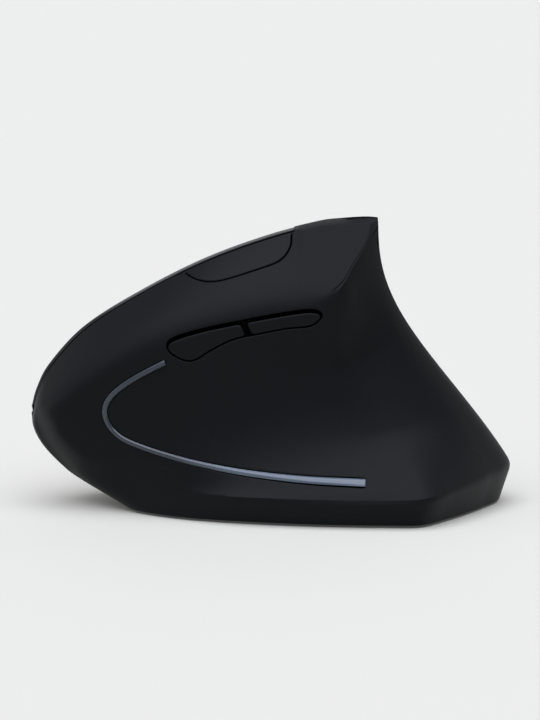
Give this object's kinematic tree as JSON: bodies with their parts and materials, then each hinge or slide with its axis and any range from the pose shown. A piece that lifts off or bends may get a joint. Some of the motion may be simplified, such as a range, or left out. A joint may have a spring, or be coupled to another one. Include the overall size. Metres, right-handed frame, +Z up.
{
  "type": "vertical ergonomic computer mouse",
  "caption": "Vertical mouse for the right hand: scooped thumb side, sloping finger side with hinged keys and wheel, ridge button, thumb buttons, battery bay and receiver below.",
  "frame": {"origin": "on the table, under the middle of the case's box", "axes": "+X from the nose to the rear, +Y to the finger side, +Z up"},
  "size_m": [0.12, 0.0634, 0.073],
  "materials": {
    "soft_black": "soft-touch matt black",
    "key_black": "satin black",
    "button_black": "satin black",
    "accent": "semi-gloss blue grey",
    "base_black": "fine matt",
    "glide": "slick low-friction",
    "cell": "wrapped cell, bare",
    "contact": "plated",
    "slider": "satin grey",
    "switch": "matt",
    "receiver": "black with a plated plug",
    "frame": "moulded",
    "board": "green solder mask",
    "wheel": "satin",
    "tyre": "soft rubber",
    "steel": "plain",
    "lens": "clear",
    "chip": "moulded",
    "lamp": "tinted clear"
  },
  "bodies": {
    "case": {"thumb_shell": "soft_black", "finger_shell": "soft_black", "accent_strip": "accent", "base_plate": "base_black", "glide_feet": "glide", "battery_cells": "cell", "battery_contacts": "contact", "power_switch": "switch", "inner_frame": "frame", "key_board": "board", "main_board": "board", "thumb_board": "board", "dpi_board": "board", "left_switch": "switch", "right_switch": "switch", "wheel_switch": "switch", "dpi_switch": "switch", "thumb_switches": "switch", "sensor_lens": "lens", "sensor_chip": "chip", "sensor_lamp": "lamp", "case_screws": "steel", "frame_screws": "steel"},
    "left_key": {"left_key": "key_black"},
    "right_key": {"right_key": "key_black"},
    "carrier": {"wheel_carrier": "frame", "scroll_encoder": "switch"},
    "wheel": {"scroll_wheel": "wheel", "wheel_tyre": "tyre", "wheel_axle": "steel"},
    "dpi_button": {"dpi_button": "button_black"},
    "forward_button": {"forward_button": "button_black"},
    "back_button": {"back_button": "button_black"},
    "power_slider": {"power_slider": "slider"},
    "battery_cover": {"battery_cover": "base_black"},
    "receiver": {"usb_receiver": "receiver"}
  },
  "joints": [
    {"name": "left_click", "type": "hinge", "parent": "case", "child": "left_key", "pos_m": [0.00509, 0.00598, 0.05026], "axis": [-0.2059, -0.4941, 0.8447], "range_deg": [0, 0.4], "stiffness_Nm_per_rad": 2, "springref_deg": -0.29},
    {"name": "right_click", "type": "hinge", "parent": "case", "child": "right_key", "pos_m": [0.00973, 0.01865, 0.02886], "axis": [-0.2059, -0.4941, 0.8447], "range_deg": [0, 0.4], "stiffness_Nm_per_rad": 2, "springref_deg": -0.29},
    {"name": "wheel_press", "type": "slide", "parent": "case", "child": "carrier", "axis": [0.2227, -0.8642, -0.4512], "range_m": [0, 0.0005], "stiffness_N_per_m": 800, "springref_m": -0.0006},
    {"name": "wheel_spin", "type": "hinge", "parent": "carrier", "child": "wheel", "pos_m": [-0.02653, 0.01263, 0.02924], "axis": [0.2059, 0.4941, -0.8447], "continuous": true},
    {"name": "dpi_press", "type": "slide", "parent": "case", "child": "dpi_button", "axis": [0.2827, 0.7157, -0.6386], "range_m": [0, 0.0006], "stiffness_N_per_m": 500, "springref_m": -0.0004},
    {"name": "forward_press", "type": "slide", "parent": "case", "child": "forward_button", "axis": [0, 1, 0], "range_m": [0, 0.0006], "stiffness_N_per_m": 500, "springref_m": -0.0004},
    {"name": "back_press", "type": "slide", "parent": "case", "child": "back_button", "axis": [0, 1, 0], "range_m": [0, 0.0006], "stiffness_N_per_m": 500, "springref_m": -0.0004},
    {"name": "power_slide", "type": "slide", "parent": "case", "child": "power_slider", "axis": [1, 0, 0], "range_m": [0, 0.003]},
    {"name": "cover_lift", "type": "slide", "parent": "case", "child": "battery_cover", "axis": [0, 0, -1], "range_m": [0, 0.012]},
    {"name": "receiver_pull", "type": "slide", "parent": "case", "child": "receiver", "axis": [0, 0, -1], "range_m": [0, 0.02]}
  ]
}
